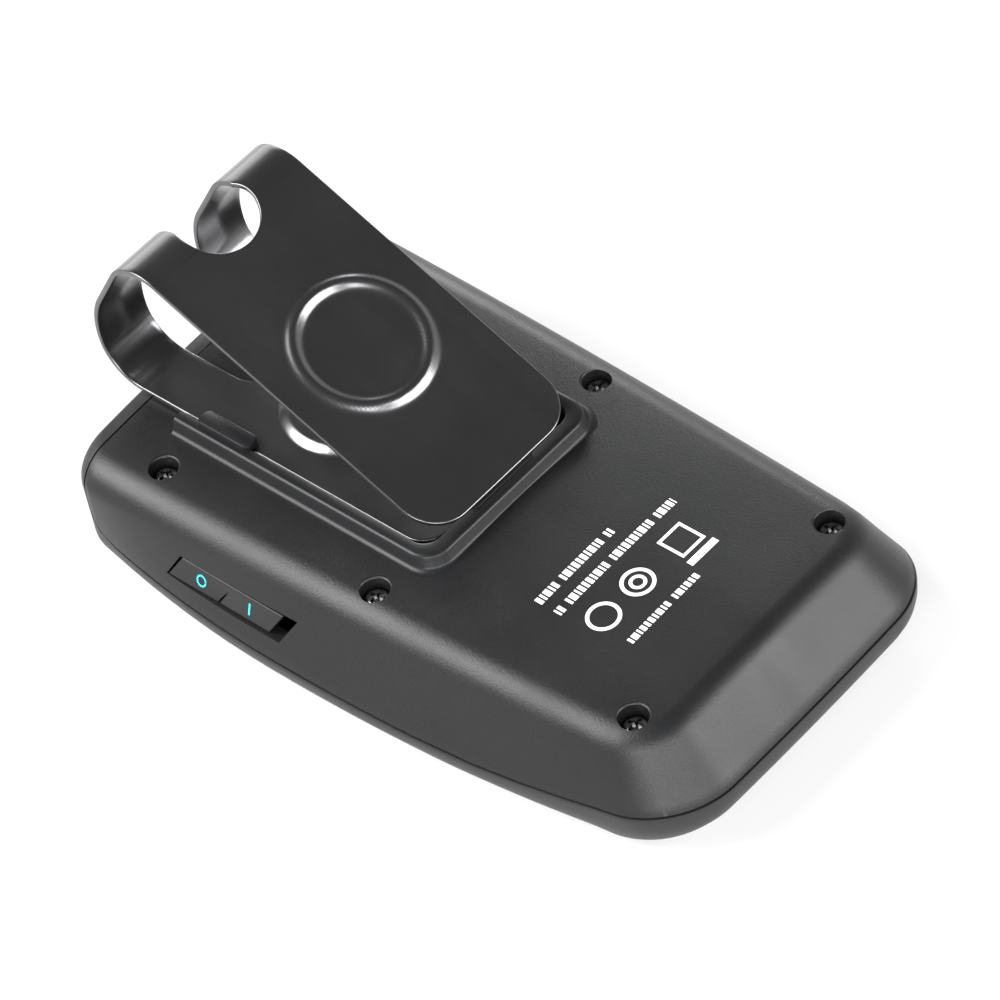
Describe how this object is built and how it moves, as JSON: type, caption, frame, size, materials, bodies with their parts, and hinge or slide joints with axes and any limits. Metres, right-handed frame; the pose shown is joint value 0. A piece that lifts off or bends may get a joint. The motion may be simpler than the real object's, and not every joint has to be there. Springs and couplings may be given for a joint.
{
  "type": "visor clip speakerphone",
  "caption": "Wedge ended in-car hands-free speakerphone with a sprung sheet steel visor clip on its back, a side slide switch and a round speaker grille with buttons on its front.",
  "frame": {"origin": "middle of the flat front face (grille side), on which the part rests", "axes": "+X along the body to the bevelled end, +Y across the body, +Z out through the back cover towards the clip"},
  "size_m": [0.1159, 0.0668, 0.0462],
  "materials": {
    "back_shell": "fine spark textured dark charcoal ABS",
    "front_shell": "fine textured black ABS",
    "trim": "spun satin ring",
    "grille": "punched sheet, powder coated black",
    "call_key": "satin",
    "keys": "satin",
    "knob": "satin moulded",
    "clip_steel": "black oxide spring steel, satin",
    "switch_can": "tinned sheet",
    "socket_shell": "plated",
    "board": "green solder mask",
    "shield_cans": "tinned sheet",
    "battery_wrap": "foil pouch",
    "foam": "closed cell foam",
    "speaker_steel": "black zinc plated",
    "cone_paper": "pressed film",
    "mic_metal": "can",
    "boot_rubber": "matt",
    "light_guide": "clear moulded",
    "led": "clear",
    "screw_steel": "black zinc plated",
    "bright_screw": "nickel plated"
  },
  "bodies": {
    "housing": {"back_cover": "back_shell", "front_cover": "front_shell", "grille_ring": "trim", "speaker_grille": "grille", "tact_switches": "switch_can", "slide_switch": "switch_can", "charge_socket": "socket_shell", "main_board": "board", "radio_module": "shield_cans", "battery_pack": "battery_wrap", "battery_pad": "foam", "speaker_gasket": "foam", "speaker_frame": "speaker_steel", "speaker_cone": "cone_paper", "speaker_magnet": "speaker_steel", "microphone": "mic_metal", "microphone_boot": "boot_rubber", "light_pipe": "light_guide", "indicator_led": "led", "case_screws": "screw_steel", "board_screws": "bright_screw"},
    "call_key": {"call_button": "call_key"},
    "volume_up_key": {"volume_up_button": "keys"},
    "volume_down_key": {"volume_down_button": "keys"},
    "mute_key": {"mute_button": "keys"},
    "side_switch": {"switch_knob": "knob"},
    "clip": {"clip_base": "clip_steel", "clip_bends": "clip_steel"},
    "upper_leaf": {"clip_leaf": "clip_steel"}
  },
  "joints": [
    {"name": "call_press", "type": "slide", "parent": "housing", "child": "call_key", "axis": [0, 0, 1], "range_m": [0, 0.0004], "stiffness_N_per_m": 1500, "springref_m": -0.0005},
    {"name": "volume_up_press", "type": "slide", "parent": "housing", "child": "volume_up_key", "axis": [0, 0, 1], "range_m": [0, 0.0004], "stiffness_N_per_m": 1500, "springref_m": -0.0005},
    {"name": "volume_down_press", "type": "slide", "parent": "housing", "child": "volume_down_key", "axis": [0, 0, 1], "range_m": [0, 0.0004], "stiffness_N_per_m": 1500, "springref_m": -0.0005},
    {"name": "mute_press", "type": "slide", "parent": "housing", "child": "mute_key", "axis": [0, 0, 1], "range_m": [0, 0.0004], "stiffness_N_per_m": 1500, "springref_m": -0.0005},
    {"name": "switch_slide", "type": "slide", "parent": "housing", "child": "side_switch", "axis": [1, 0, 0], "range_m": [0, 0.002]},
    {"name": "clip_slide", "type": "slide", "parent": "housing", "child": "clip", "axis": [-1, 0, 0], "range_m": [0, 0.045]},
    {"name": "leaf_flex", "type": "hinge", "parent": "clip", "child": "upper_leaf", "pos_m": [-0.06, 0, 0.027], "axis": [0, -1, 0], "range_deg": [0, 12], "stiffness_Nm_per_rad": 2.5, "springref_deg": -4.58, "deforming": ["clip_bends"]}
  ]
}
